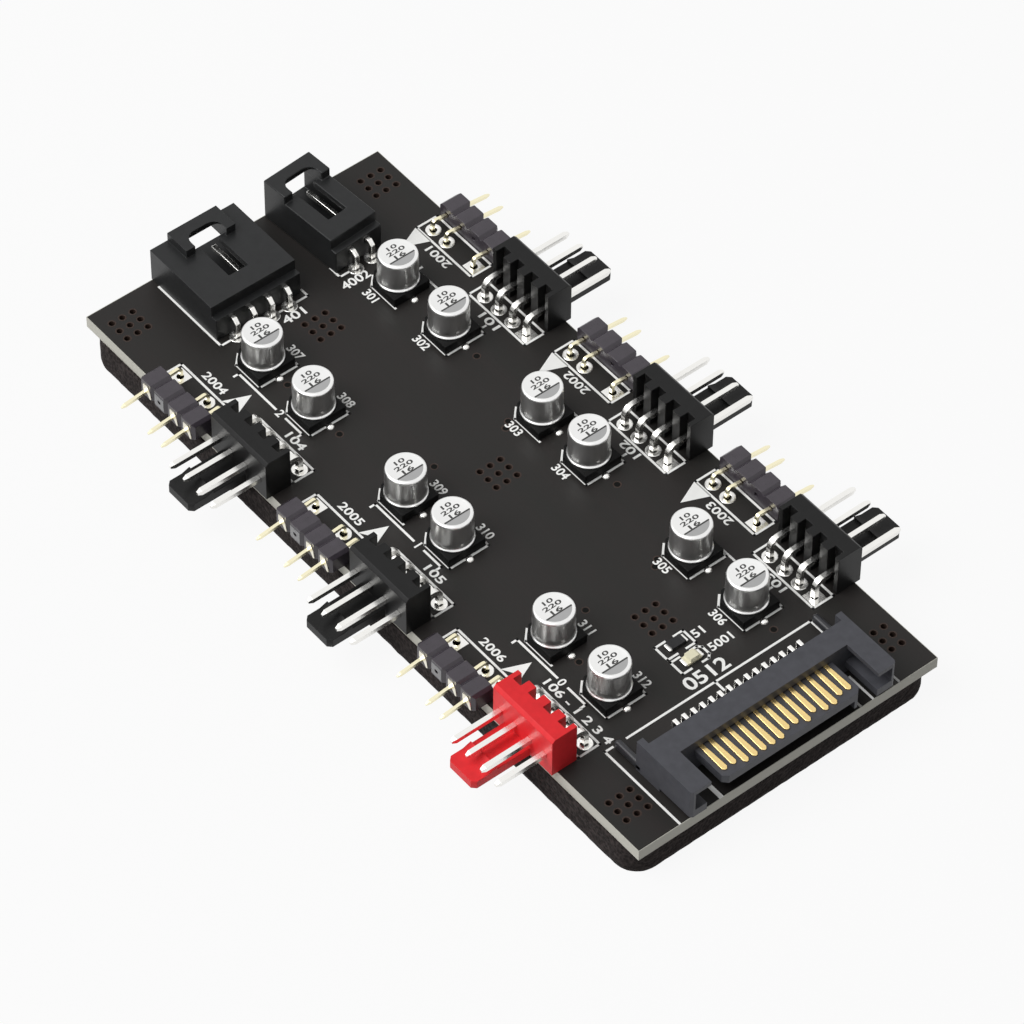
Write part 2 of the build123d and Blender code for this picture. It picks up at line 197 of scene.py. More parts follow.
def add_node(tree, kind, inputs=None, **settings):
    """Adds a shader node with some settings and some fed inputs."""
    node = tree.nodes.new(f"ShaderNode{kind}")
    for name, value in settings.items():
        setattr(node, name, value)
    for key, value in (inputs or {}).items():
        feed(tree, node.inputs[key], value)
    return node


def calculated(tree, operation, *values):
    """Output of a math node."""
    return add_node(tree, "Math", dict(enumerate(values)), operation=operation).outputs["Value"]


def mixed(tree, factor, first, second):
    """Output of a mix of two colours."""
    inputs = {"Factor": factor, "A": first, "B": second}
    return add_node(tree, "Mix", inputs, data_type="RGBA").outputs["Result"]


def object_place(tree):
    """Object coordinates."""
    return add_node(tree, "TexCoord").outputs["Object"]


def object_axes(tree):
    """The three Object coordinates, each by itself."""
    return add_node(tree, "SeparateXYZ", {"Vector": object_place(tree)}).outputs


def tone_group(label, stretch):
    """Group that varies a colour, a roughness and a height over the surface, on Object coordinates."""
    tree = bpy.data.node_groups.new(label, "ShaderNodeTree")
    for name in TONE_INPUTS:
        kind = "NodeSocketColor" if "olour" in name else "NodeSocketFloat"
        tree.interface.new_socket(name=name, in_out="INPUT", socket_type=kind)
    for name, kind in (("Colour", "Color"), ("Roughness", "Float"), ("Height", "Float")):
        tree.interface.new_socket(name=name, in_out="OUTPUT", socket_type=f"NodeSocket{kind}")
    entry = tree.nodes.new("NodeGroupInput").outputs
    result = tree.nodes.new("NodeGroupOutput").inputs
    place = add_node(tree, "Mapping", {"Vector": object_place(tree), "Scale": stretch}).outputs["Vector"]
    fine = add_node(tree, "TexNoise", {"Vector": place, "Scale": entry["Scale"], "Detail": 3.0})
    broad_scale = calculated(tree, "MULTIPLY", entry["Scale"], BROAD_SHARE)
    broad = add_node(tree, "TexNoise", {"Vector": place, "Scale": broad_scale, "Detail": 1.0})
    limits = {"To Min": entry["Smoothest"], "To Max": entry["Roughest"]}
    gloss = add_node(tree, "MapRange", {"Value": fine.outputs["Fac"], **limits})
    colour = mixed(tree, broad.outputs["Fac"], entry["Colour"], entry["Second colour"])
    feed(tree, result["Colour"], colour)
    feed(tree, result["Roughness"], gloss.outputs["Result"])
    feed(tree, result["Height"], fine.outputs["Fac"])
    return tree


MOULDED = tone_group("moulded_grain", (1.0, 1.0, 1.0))
DRAWN = tone_group("drawn_metal", (1.0, 1.0, 0.12))
STREAKED = tone_group("streaked_mask", (0.07, 1.0, 1.0))


def shaded(colour, factor):
    """A colour made lighter or darker, alpha kept."""
    return (colour[0] * factor, colour[1] * factor, colour[2] * factor, 1.0)


def blank_material(label, **constants):
    """A material with only its surface shader and some constants; returns it with its tree and inputs."""
    material = bpy.data.materials.new(label)
    material.use_nodes = True
    tree = material.node_tree
    inputs = next(node for node in tree.nodes if node.type == "BSDF_PRINCIPLED").inputs
    for name, value in constants.items():
        inputs[SHADER_NAMES[name]].default_value = value
    return material, tree, inputs


def add_tone(tree, inputs, group, pair, scale, gloss, bump):
    """Feeds a shader's roughness and normal from a tone group and returns the group's colour."""
    tone = add_node(tree, "Group", node_tree=group)
    for name, value in zip(TONE_INPUTS, (*pair, scale, *gloss)):
        tone.inputs[name].default_value = value
    height = tone.outputs["Height"]
    relief = add_node(tree, "Bump", {"Strength": bump, "Distance": GRAIN_DEPTH, "Height": height})
    feed(tree, inputs["Roughness"], tone.outputs["Roughness"])
    feed(tree, inputs["Normal"], relief.outputs["Normal"])
    return tone.outputs["Colour"]


def moulding(label, colour, gloss, lift=1.3, specular=0.2):
    """Moulded plastic with a fine spark-eroded grain."""
    material, tree, inputs = blank_material(label, specular=specular)
    dark = 0.85
    grain = 9000.0
    bump = 0.12
    pair = (shaded(colour, dark), shaded(colour, lift))
    feed(tree, inputs["Base Color"], add_tone(tree, inputs, MOULDED, pair, grain, gloss, bump))
    return material


def plated(label, colour, gloss, scale=METAL_SCALE):
    """Plated or drawn metal with faint streaks."""
    material, tree, inputs = blank_material(label, metallic=1.0)
    pair = (shaded(colour, METAL_DARK), colour)
    feed(tree, inputs["Base Color"], add_tone(tree, inputs, DRAWN, pair, scale, gloss, METAL_BUMP))
    return material


def printed(label, colour):
    """Screen-printed ink, slightly uneven."""
    material, tree, inputs = blank_material(label, specular=0.2)
    thin = 0.92
    grain = 6000.0
    gloss = (0.5, 0.7)
    bump = 0.15
    pair = (shaded(colour, thin), colour)
    feed(tree, inputs["Base Color"], add_tone(tree, inputs, MOULDED, pair, grain, gloss, bump))
    return material


def contact_plating(colours, limit):
    """Contact metal: gold towards the mouth and tin on the tails, which end at a limit along X."""
    material, tree, inputs = blank_material("contact_plating", metallic=1.0)
    gloss = (0.2, 0.32)
    pair = (shaded(colours.gold, METAL_DARK), colours.gold)
    gold = add_tone(tree, inputs, DRAWN, pair, METAL_SCALE, gloss, METAL_BUMP)
    ahead = calculated(tree, "GREATER_THAN", object_axes(tree)["X"], limit)
    feed(tree, inputs["Base Color"], mixed(tree, ahead, colours.tin, gold))
    return material


def solder_mask(colours):
    """Satin dark mask that stops short of the board's bare glass-fibre edge."""
    material, tree, inputs = blank_material("solder_mask", specular=0.2)
    streak = 2600.0
    gloss = (0.4, 0.52)
    bump = 0.2
    border = 0.06 * MM
    mask = add_tone(tree, inputs, STREAKED, (colours.mask, colours.mask_warm), streak, gloss, bump)
    axes = object_axes(tree)
    edges = []
    for name, half in (("X", BOARD_HIGH.x), ("Y", BOARD_HIGH.y)):
        size = calculated(tree, "ABSOLUTE", axes[name])
        edges.append(calculated(tree, "GREATER_THAN", size, half - border))
    either = calculated(tree, "MAXIMUM", *edges)
    feed(tree, inputs["Base Color"], mixed(tree, either, mask, colours.core))
    return material


def foam_cells(colours):
    """Open-cell foam: painted shade darkens its cell pits and painted light brightens the ribs between."""
    material, tree, inputs = blank_material("foam_cells", roughness=0.95, specular=0.15)
    pit_shade = 0.5
    rib_light = 1.7
    depth = 0.25 * MM
    place = object_place(tree)
    cells = add_node(tree, "TexVoronoi", {"Vector": place, "Scale": 2400.0})
    dust = add_node(tree, "TexNoise", {"Vector": place, "Scale": 1500.0, "Detail": 4.0})
    height = calculated(tree, "MULTIPLY", cells.outputs["Distance"], dust.outputs["Fac"])
    cell_shading = add_node(tree, "MapRange", {"Value": height, "From Min": 0.1, "From Max": 0.45})
    # Painted shade in the pits and painted light on the ribs, mixed by the cells' height.
    dark, lit_rib = shaded(colours.foam, pit_shade), shaded(colours.foam, rib_light)
    relief = add_node(tree, "Bump", {"Strength": 0.8, "Distance": depth, "Height": height})
    feed(tree, inputs["Base Color"], mixed(tree, cell_shading.outputs["Result"], dark, lit_rib))
    feed(tree, inputs["Normal"], relief.outputs["Normal"])
    return material


def seen_mask(tree):
    """Mask of the rays that show the background: from the camera, off gloss and through glass."""
    rays = add_node(tree, "LightPath").outputs
    bounced = calculated(tree, "MAXIMUM", rays["Is Camera Ray"], rays["Is Glossy Ray"])
    return calculated(tree, "MAXIMUM", bounced, rays["Is Transmission Ray"])


def pale_floor(colours, white_share):
    """Pale floor that shows the camera and reflections a white sweep, with a soft shadow."""
    material, tree, inputs = blank_material("pale_floor", roughness=0.9, specular=0.0)
    inputs["Base Color"].default_value = colours.floor
    surface = next(node for node in tree.nodes if node.type == "OUTPUT_MATERIAL").inputs["Surface"]
    share = calculated(tree, "MULTIPLY", seen_mask(tree), white_share)
    shade = surface.links[0].from_socket
    white = add_node(tree, "Emission").outputs["Emission"]
    mix = add_node(tree, "MixShader", {"Fac": share, 1: shade, 2: white})
    feed(tree, surface, mix.outputs["Shader"])
    return material


# Mesh helpers


CRISP = 25.0
RING_STEPS = 16


def shift(x, y, z):
    """Matrix of a move."""
    return Matrix.Translation(Vector((x, y, z)))


def cuboid(bm, place, x, y, z):
    """Adds a box of a size, centred on a place matrix."""
    bmesh.ops.create_cube(bm, size=1.0, matrix=place @ Matrix.Diagonal(Vector((x, y, z, 1.0))))


def seat(bm, label, material, slot, node=None, sharp=35.0):
    """Turns a finished bmesh into a piece that rides on the part, in place of a CAD node if one is named."""
    mesh = bpy.data.meshes.new(label)
    bm.to_mesh(mesh)
    bm.free()
    mesh.materials.append(material)
    mesh.shade_smooth()
    mesh.set_sharp_from_angle(angle=math.radians(sharp))
    piece = bpy.data.objects.new(label, mesh)
    bpy.context.scene.collection.objects.link(piece)
    flats = piece.modifiers.new("flat_faces", "WEIGHTED_NORMAL")
    flats.keep_sharp = True
    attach(piece, BODY)
    if node:
        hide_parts(node)
    return piece


def merged_copy(node):
    """Copy of a CAD node's mesh, welded, with its flat faces joined up."""
    bm = bmesh.new()
    bm.from_mesh(NODES[node].data)
    bmesh.ops.remove_doubles(bm, verts=bm.verts, dist=MERGE)
    bmesh.ops.dissolve_limit(bm, angle_limit=math.radians(0.5), verts=bm.verts, edges=bm.edges)
    return bm


def crisp_edges(bm, degrees=CRISP):
    """Edges where two faces meet at more than an angle."""
    limit = math.radians(degrees)
    return [edge for edge in bm.edges if len(edge.link_faces) == 2 and edge.calc_face_angle() > limit]


def round_edges(bm, edges, width, segments=2):
    """Rounds edges."""
    bmesh.ops.bevel(
        bm, geom=edges, offset=width, offset_type="OFFSET", segments=segments, profile=0.5,
        affect="EDGES", clamp_overlap=True, material=-1,
    )


def softened(node, width):
    """Copy of a CAD node with rounded edges."""
    bm = merged_copy(node)
    round_edges(bm, crisp_edges(bm), width)
    return bm


def window_corners(bm):
    """Upright inner corners that run up to the top of a housing."""
    top = max(vert.co.z for vert in bm.verts) - MERGE
    found = []
    for edge in crisp_edges(bm, 45.0):
        rise = edge.verts[1].co - edge.verts[0].co
        upright = abs(rise.z) > 0.99 * rise.length
        if upright and not edge.is_convex and max(vert.co.z for vert in edge.verts) > top:
            found.append(edge)
    return found


def only_face(items):
    """The face among some mesh elements."""
    return next(item for item in items if isinstance(item, bmesh.types.BMFace))


def extruded(bm, face, move):
    """Extrudes a face and returns the moved one."""
    grown = bmesh.ops.extrude_face_region(bm, geom=[face])
    tip = only_face(grown["geom"])
    bmesh.ops.translate(bm, verts=tip.verts, vec=move)
    return tip


def square_section(bm, side, matrix):
    """One square face."""
    made = bmesh.ops.create_grid(bm, x_segments=1, y_segments=1, size=side / 2, matrix=matrix)
    return made["verts"][0].link_faces[0]


def bent_pin(bm, column, side, reach, height, drop, setback, radius, point):
    """Square pin from its tapered end, along its run, round its bend and down through the board."""
    slope = math.atan2(drop, reach + setback)
    heading = Vector((0.0, -math.cos(slope), math.sin(slope)))
    below = Vector((0.0, -math.sin(slope), -math.cos(slope)))
    start = Vector((column, reach, height - drop))
    turn = Matrix.Rotation(math.radians(90.0) - slope, 4, "X")
    face = square_section(bm, side * 0.5, Matrix.Translation(start) @ turn)
    face = extruded(bm, face, heading * point)
    centre = face.calc_center_median()
    bmesh.ops.scale(bm, verts=face.verts, vec=Vector((2.0, 2.0, 2.0)), space=Matrix.Translation(-centre))
    bend = radius + side / 2
    run = (reach + setback - bend) / math.cos(slope) - point
    face = extruded(bm, face, heading * run)
    pivot = face.calc_center_median() + below * bend
    spun = bmesh.ops.spin(
        bm, geom=[face, *face.edges, *face.verts], cent=pivot, axis=Vector((1.0, 0.0, 0.0)),
        angle=math.radians(90.0) + slope, steps=8, use_duplicate=False,
    )
    face = only_face(spun["geom_last"])
    fall = face.calc_center_median().z + BOARD_THICKNESS
    extruded(bm, face, Vector((0.0, 0.0, -fall)))


def port_frame(node, side):
    """Matrix of a port: +Y out of the board, on the board's top at its edge."""
    middle = port_middle(node) * MM
    place = shift(middle, side * HALF_WIDTH, BOARD_TOP)
    return place if side > 0 else place @ Matrix.Rotation(math.pi, 4, "Z")


def side_of(number):
    """+1 for the ports on the far edge, -1 for the near ones."""
    return 1 if number <= 3 else -1


def turned(bm, profile, steps, closed=False):
    """Full spin of a profile of (radius, height) points about the Z axis."""
    rim = [bm.verts.new(Vector((radius, 0.0, height))) for radius, height in profile]
    ends = [*rim[1:], rim[0]] if closed else rim[1:]
    lines = [bm.edges.new(pair) for pair in zip(rim, ends)]
    bmesh.ops.spin(
        bm, geom=[*rim, *lines], cent=Vector(), axis=Vector((0.0, 0.0, 1.0)), angle=math.tau, steps=steps,
        use_merge=True, use_duplicate=False,
    )
    bmesh.ops.remove_doubles(bm, verts=bm.verts, dist=MERGE)
    bmesh.ops.recalc_face_normals(bm, faces=bm.faces)


def settle(bm, place):
    """Turns all faces outwards and moves a bmesh to its place."""
    bmesh.ops.recalc_face_normals(bm, faces=bm.faces)
    bmesh.ops.transform(bm, matrix=place, verts=bm.verts)


def split_at(bm, x, clear_inner=False):
    """Cuts a bmesh across X, and clears what lies below if asked."""
    bmesh.ops.bisect_plane(
        bm, geom=[*bm.verts, *bm.edges, *bm.faces], plane_co=Vector((x, 0.0, 0.0)),
        plane_no=Vector((1.0, 0.0, 0.0)), clear_inner=clear_inner,
    )


def added(bm, mesh):
    """Adds a mesh to a bmesh and returns the new vertices."""
    old = set(bm.verts)
    bm.from_mesh(mesh)
    return [vert for vert in bm.verts if vert not in old]


def repeated(source, places):
    """New bmesh with a copy of a small bmesh at each place."""
    mesh = bpy.data.meshes.new("repeat")
    source.to_mesh(mesh)
    source.free()
    result = bmesh.new()
    for place in places:
        bmesh.ops.transform(result, matrix=place, verts=added(result, mesh))
    bpy.data.meshes.remove(mesh)
    return result


def square_plate(half, hole, thickness):
    """Square plate with a round hole, on the XY plane."""
    bm = bmesh.new()
    square = bmesh.ops.create_grid(bm, x_segments=1, y_segments=1, size=half)["verts"]
    bmesh.ops.subdivide_edges(bm, edges=list(square[0].link_faces[0].edges), cuts=3)
    bmesh.ops.delete(bm, geom=bm.faces[:], context="FACES_ONLY")
    outline = bm.edges[:]
    circle = bmesh.ops.create_circle(bm, cap_ends=False, segments=RING_STEPS, radius=hole)["verts"]
    bmesh.ops.rotate(bm, verts=circle, cent=Vector(), matrix=Matrix.Rotation(math.radians(45.0), 3, "Z"))
    rim = list({edge for vert in circle for edge in vert.link_edges})
    bmesh.ops.bridge_loops(bm, edges=[*outline, *rim])
    bmesh.ops.recalc_face_normals(bm, faces=bm.faces)
    grown = bmesh.ops.extrude_face_region(bm, geom=bm.faces[:])
    upper = [item for item in grown["geom"] if isinstance(item, bmesh.types.BMVert)]
    bmesh.ops.translate(bm, vec=Vector((0.0, 0.0, thickness)), verts=upper)
    bmesh.ops.recalc_face_normals(bm, faces=bm.faces)
    return bm


def on_board(x, y, z=0.0):
    """Point over the board's top, from millimetres about its middle."""
    return Vector((x * MM, y * MM, BOARD_TOP + z * MM))


# Printed marking


def line(bm, start, end, width, thickness):
    """One printed line between two points of the board, in millimetres."""
    first, last = on_board(*start), on_board(*end)
    along = last - first
    turn = Matrix.Rotation(math.atan2(along.y, along.x), 4, "Z")
    place = Matrix.Translation((first + last) / 2) @ shift(0.0, 0.0, thickness / 2) @ turn
    cuboid(bm, place, along.length + width, width, thickness)


def path(bm, points, width, thickness, closed=False):
    """Printed lines through some points."""
    ends = points[1:] + points[:1] if closed else points[1:]
    for start, end in zip(points, ends):
        line(bm, start, end, width, thickness)


def patch(bm, points, thickness):
    """Printed filled shape."""
    face = bm.faces.new([bm.verts.new(on_board(*point)) for point in points])
    face.normal_update()
    if face.normal.z < 0:
        face.normal_flip()
    extruded(bm, face, Vector((0.0, 0.0, thickness)))


STROKE = 0.021


def lettering(bm, text, place, thickness, height, width=None):
    """Flat characters of an exact height, and width if one is given, centred on a place matrix."""
    curve = bpy.data.curves.new("characters", "FONT")
    curve.body = text
    curve.size = height
    curve.offset = STROKE * height
    curve.extrude = thickness / 2
    curve.resolution_u = 3
    carrier = bpy.data.objects.new("characters", curve)
    bpy.context.scene.collection.objects.link(carrier)
    bpy.context.view_layer.update()
    mesh = bpy.data.meshes.new_from_object(carrier.evaluated_get(bpy.context.evaluated_depsgraph_get()))
    verts = added(bm, mesh)
    low = Vector([min(vert.co[axis] for vert in verts) for axis in range(3)])
    high = Vector([max(vert.co[axis] for vert in verts) for axis in range(3)])
    tall = height / (high.y - low.y)
    wide = tall if width is None else width / (high.x - low.x)
    fit = Matrix.Diagonal(Vector((wide, tall, 1.0, 1.0))) @ Matrix.Translation((low + high) / -2)
    bmesh.ops.transform(bm, matrix=place @ fit, verts=verts)
    bmesh.ops.remove_doubles(bm, verts=verts, dist=MERGE / 2)
    bpy.data.objects.remove(carrier)
    bpy.data.curves.remove(curve)
    bpy.data.meshes.remove(mesh)


def text_place(x, y, turn, lift):
    """Matrix of characters on the board, turned by degrees."""
    spot = Matrix.Translation(on_board(x, y) + Vector((0.0, 0.0, lift)))
    return spot @ Matrix.Rotation(math.radians(turn), 4, "Z")


LIGHT_BOX = ((-5.1, -4.2), (5.1, -4.2), (5.1, -1.15), (-5.1, -1.15))
FAN_BOX = ((-5.15, -6.1), (5.15, -6.1), (5.15, -3.15), (-5.15, -3.15))
ARROW = ((-5.25, -4.25), (-3.78, -7.6), (-2.35, -4.25))
ARROW_NOTCH = (-3.78, -5.15)
PRINT_SHIFT = -0.2


def port_points(points, middle, side):
    """Points of a port's own frame on the board, in millimetres."""
    edge = HALF_WIDTH / MM
    return [(middle + PRINT_SHIFT + side * x, side * (edge + y)) for x, y in points]


def port_middle(node):
    """A port's place along the board, in millimetres."""
    low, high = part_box(node)
    return (low.x + high.x) / 2 / MM


def can_middle(number):
    """A can's place on the board, in millimetres."""
    low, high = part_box(f"capacitor_{number:02d}_can")
    return (low.x + high.x) / 2 / MM, (low.y + high.y) / 2 / MM


class HubPiece:
    """Hands the scene's sizes and colours to each operator."""

    def execute(self, context):
        self.build(context.scene.hub_sizes, context.scene.hub_colours)
        return {"FINISHED"}


class HUB_OT_foam_pad(HubPiece, bpy.types.Operator):
    """Foam pad with rough cut sides"""

    bl_idname = "hub.foam_pad"
    bl_label = "Foam pad"

    def build(self, sizes, colours):
        low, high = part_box("foam_base_pad")
        bm = merged_copy("foam_base_pad")
        upper = [face for face in bm.faces if face.normal.z > -0.5]
        bmesh.ops.delete(bm, geom=upper, context="FACES_ONLY")
        for edge in list(bm.faces[:][0].edges):
            cuts = int(edge.calc_length() / (self.cell * MM))
            if cuts:
                bmesh.ops.subdivide_edges(bm, edges=[edge], cuts=cuts)
        loose = [vert for vert in bm.verts if not vert.link_faces]
        bmesh.ops.delete(bm, geom=loose, context="VERTS")
        face = bm.faces[:][0]
        step = Vector((0.0, 0.0, (high.z - low.z) / self.rings))
        for _ring in range(self.rings):
            face = extruded(bm, face, step)
        bmesh.ops.recalc_face_normals(bm, faces=bm.faces)
        bm.normal_update()
        band = self.edge_band * MM
        for vert in bm.verts:
            outward = Vector((vert.normal.x, vert.normal.y, 0.0)).normalized()
            rough = noise.fractal(vert.co / (self.grain * MM), 1.0, 2.0, 3)
            inset = sizes.foam_rough * self.rough_share * (1.0 + rough)
            if vert.co.z < low.z + band or vert.co.z > high.z - band:
                inset += self.edge_inset * MM
            vert.co -= outward * max(inset, 0.0)
        piece = seat(bm, "foam_pad", foam_cells(colours), "foam", "foam_base_pad", sharp=60.0)

    cell = 0.7
    rings = 6
    grain = 1.1
    rough_share = 0.6
    edge_band = 0.2
    edge_inset = 0.12


class HUB_OT_board(HubPiece, bpy.types.Operator):
    """Solder mask on the board, with plated vias and near-black discs of painted shade in the small vias'
    holes
    """

    bl_idname = "hub.board"
    bl_label = "Circuit board"

    def build(self, sizes, colours):
        board = NODES["circuit_board"]
        board.data.materials.clear()
        board.data.materials.append(solder_mask(colours))
        outer, hole, rise = sizes.via_outer, sizes.via_hole, sizes.via_rise
        wall = hole + 2 * rise
        sleeve = bmesh.new()
        sleeve_profile = (
            (outer, 0.0), (outer - rise, rise), (wall, rise), (hole, 0.0), (hole, -BOARD_THICKNESS),
            (wall, -BOARD_THICKNESS), (wall, 0.0),
        )
        turned(sleeve, sleeve_profile, RING_STEPS, closed=True)
        copper = moulding("via_copper", colours.via, (0.4, 0.5))
        patches = [Matrix.Translation(on_board(x, y)) for x, y in self.patches()]
        seat(repeated(sleeve, patches), "via_sleeves", copper, "solder_mask")
        singles = [Matrix.Translation(on_board(x, y)) for x, y in self.singles]
        ring = bmesh.new()
        turned(ring, sleeve_profile[:4], RING_STEPS, closed=True)
        seat(repeated(ring, singles), "single_via_rings", copper, "solder_mask")
        # Near-black discs in the small vias' rings: painted shade standing in for their open holes.
        hole_shade_disc = bmesh.new()
        turned(hole_shade_disc, ((0.0, rise / 2), (hole * 0.8, rise / 2), (hole, 0.0), (0.0, 0.0)), RING_STEPS)
        dark = moulding("via_hole_shade", shaded(colours.mask, 0.25), (0.6, 0.8), specular=0.1)
        seat(repeated(hole_shade_disc, singles), "via_hole_shade_discs", dark, "solder_mask")

    singles = (
        (-16.9, 10.0), (8.35, 10.1), (35.6, 10.0), (-6.8, 6.5), (-6.15, 5.6), (19.7, 6.5), (20.4, 5.6),
        (-6.7, -4.4), (20.4, -4.5), (-17.3, -9.75), (25.7, -9.8), (-27.0, -9.75),
    )
    pitch = 1.5
    corner_columns = (-45.8, 44.4)
    corner_row = 18.3
    middles = ((-31.7, -0.95), (-1.35, 0.65), (26.1, 0.65))

    def patches(self):
        """Middles of the open vias."""
        corners = [(x, side * self.corner_row) for x in self.corner_columns for side in (1, -1)]
        steps = (-self.pitch, 0.0, self.pitch)
        return [(x + dx, y + dy) for x, y in (*corners, *self.middles) for dx in steps for dy in steps]


class HUB_OT_marking(HubPiece, bpy.types.Operator):
    """White printed lines, arrows and plain numbers"""

    bl_idname = "hub.marking"
    bl_label = "Board marking"

    def build(self, sizes, colours):
        bm = bmesh.new()
        width, ink = sizes.line_width, sizes.ink
        for number in PORTS:
            self.port_marks(bm, number, width, ink)
        for number in CAPACITORS:
            self.can_marks(bm, number, width, ink)
        for points in self.loose_paths:
            path(bm, list(points), width, ink)
        line(bm, *self.thick_line, 2 * width, ink)
        for text, x, y, turn, height, wide in self.loose_numbers:
            lettering(bm, text, text_place(x, y, turn, ink / 2), ink, height * MM, wide * MM)
        seat(bm, "board_marking", printed("marking_ink", colours.marking), "solder_mask")

    loose_paths = (
        ((-37.8, 0.6), (-36.6, 0.6), (-36.6, -12.06), (-48.5, -12.06)),
        ((-36.6, 8.4), (-36.6, 5.35), (-38.35, 5.35)),
        ((39.3, 13.97), (37.24, 13.97), (37.24, -12.5)),
        ((37.24, 0.1), (38.7, 0.1)),
        ((37.24, -14.6), (37.24, -15.65), (49.8, -15.65)),
        ((48.9, 15.9), (49.8, 15.9)),
        ((46.0, 12.06), (49.8, 12.06)),
        ((48.7, 10.3), (49.8, 10.3)),
        ((29.4, 0.75), (29.4, 2.06), (31.6, 2.06), (31.6, 0.75)),
        ((29.4, -0.6), (29.4, -2.0), (31.6, -2.0), (31.6, -0.6)),
        ((32.1, 0.9), (32.1, 1.75), (32.55, 2.2), (33.75, 2.2), (34.2, 1.75), (34.2, 0.9)),
        ((32.1, -0.75), (32.1, -2.0), (34.2, -2.0), (34.2, -0.75)),
    )
    thick_line = ((47.4, -9.8), (49.7, -9.8))
    loose_numbers = (
        ("0512", 35.7, 0.06, 90.0, 1.9, 6.0),
        ("401", -35.1, -2.6, 90.0, 1.3, 3.1),
        ("4002", -35.1, 6.5, 90.0, 1.3, 3.9),
        ("51", 30.6, 3.2, 90.0, 1.2, 1.5),
        ("5001", 33.2, 4.3, 90.0, 1.2, 3.2),
    )
    group_numbers = ("2", "1", "0")
    letter_height = 1.15
    light_spots = {1: (0.0, 16.3), -1: (-0.5, -16.1)}
    light_width = 3.9
    fan_spots = {1: (-0.5, 14.55), -1: (0.2, -14.3)}
    fan_width = 3.0
    red_spot = (0.0, -14.3)
    red_width = 11.2
    bracket_row = 13.1
    bracket_tick = 0.65
    bracket_runs = ((0.05, 7.0), (11.95, 8.95))
    bracket_digit = 7.85

    def port_marks(self, bm, number, width, ink):
        """Boxes, arrow, bracket and numbers of one pair of ports."""
        side = side_of(number)
        light = port_middle(f"light_port_{number}_body")
        fan = port_middle(f"fan_port_{number}_housing")
        path(bm, port_points(LIGHT_BOX, light, side), width, ink, closed=True)
        path(bm, port_points(FAN_BOX, fan, side), width, ink, closed=True)
        arrow = ARROW if side > 0 else (*ARROW, ARROW_NOTCH)
        patch(bm, port_points(arrow, light, side), ink)
        turn = 180.0 if side > 0 else 0.0

        def label(characters, middle, spot, wide=None):
            """Characters at a spot beside a port's middle."""
            place = text_place(middle + spot[0], spot[1], turn, ink / 2)
            fit = None if wide is None else wide * MM
            lettering(bm, characters, place, ink, self.letter_height * MM, fit)

        label(f"200{number}", light, self.light_spots[side], self.light_width)
        if number == RED_PORT:
            label(f"10{number} - 1 2 3 4", fan, self.red_spot, self.red_width)
        else:
            label(f"10{number}", fan, self.fan_spots[side], self.fan_width)
        row = side * self.bracket_row
        for outer, inner in self.bracket_runs:
            tick = (light + outer, row + side * self.bracket_tick)
            path(bm, [tick, (light + outer, row), (light + inner, row)], width, ink)
        label(self.group_numbers[(number - 1) % 3], light, (self.bracket_digit, row))

    far_number = (-0.6, 6.3)
    near_number = (1.0, -5.95)
    number_height = 1.2
    bare_sides = (1, 3, 9, 11)
    can_corner = ((-2.95, -1.4), (-1.7, -2.6), (2.77, -2.6))
    can_side = ((2.77, -2.6), (2.77, 2.95), (2.35, 2.95))

    def can_marks(self, bm, number, width, ink):
        """Outline and number of one capacitor."""
        x, y = can_middle(number)
        path(bm, [(x + dx, y + dy) for dx, dy in self.can_corner], width, ink)
        if number not in self.bare_sides:
            path(bm, [(x + dx, y + dy) for dx, dy in self.can_side], width, ink)
        dx, row = self.far_number if y > 0 else self.near_number
        place = text_place(x + dx, row, 0.0, ink / 2)
        lettering(bm, f"3{number:02d}", place, ink, self.number_height * MM)


class HUB_OT_pads(HubPiece, bpy.types.Operator):
    """Plated pads round the pins, and solder at the flat terminals"""

    bl_idname = "hub.pads"
    bl_label = "Pads and solder"

    def build(self, sizes, colours):
        rise, hole, outer = sizes.pad_rise, sizes.pad_hole, sizes.pad_outer
        rounds, squares = self.places()
        solder = plated("solder", colours.tin, SOLDER_GLOSS)
        wall = hole + rise
        deep = -sizes.pad_barrel
        ring_profile = (
            (outer, 0.0), (outer - rise, rise), (wall, rise), (hole, rise * 0.4), (hole, deep), (wall, deep),
            (wall, 0.0),
        )
        ring = bmesh.new()
        turned(ring, ring_profile, self.pad_steps, closed=True)
        seat(repeated(ring, rounds), "round_pads", solder, "tin_plate")
        seat(repeated(square_plate(outer, hole, rise), squares), "square_pads", solder, "tin_plate")
        radius = sizes.bead
        bead = bmesh.new()
        turned(bead, [(radius * out, radius * up) for out, up in self.bead_profile], RING_STEPS)
        spots = []
        for number in CAPACITORS:
            x, y = can_middle(number)
            spots.extend(Matrix.Translation(on_board(x + side * self.bead_reach, y)) for side in (1, -1))
        seat(repeated(bead, spots), "terminal_solder", solder, "tin_plate")

    pad_steps = 24
    bead_profile = ((0.0, 0.68), (0.4, 0.62), (0.76, 0.4), (0.94, 0.16), (1.0, 0.0), (0.0, 0.0))
    bead_reach = 3.05
    fan_setback = 4.9
    light_setback = 2.9

    def places(self):
        """Matrices of the round pads and of the square ones, which mark each port's first pin."""
        rounds, squares = [], []
        kinds = (
            ("fan_port_{}_housing", FAN_PIN_COLUMNS, self.fan_setback),
            ("light_port_{}_body", LIGHT_PIN_COLUMNS, self.light_setback),
        )
        for number in PORTS:
            for kind, columns, setback in kinds:
                base = port_frame(kind.format(number), side_of(number))
                for column in columns:
                    place = base @ shift(column * MM, -setback * MM, 0.0)
                    (squares if column == columns[-1] else rounds).append(place)
        for node in ("fan_signal_input_pins", "light_signal_input_pins"):
            rounds.extend(Matrix.Translation(middle) for middle in tail_middles(node))
        return rounds, squares


TAIL_BAND = 0.1 * MM
TAIL_GAP = 1.2 * MM


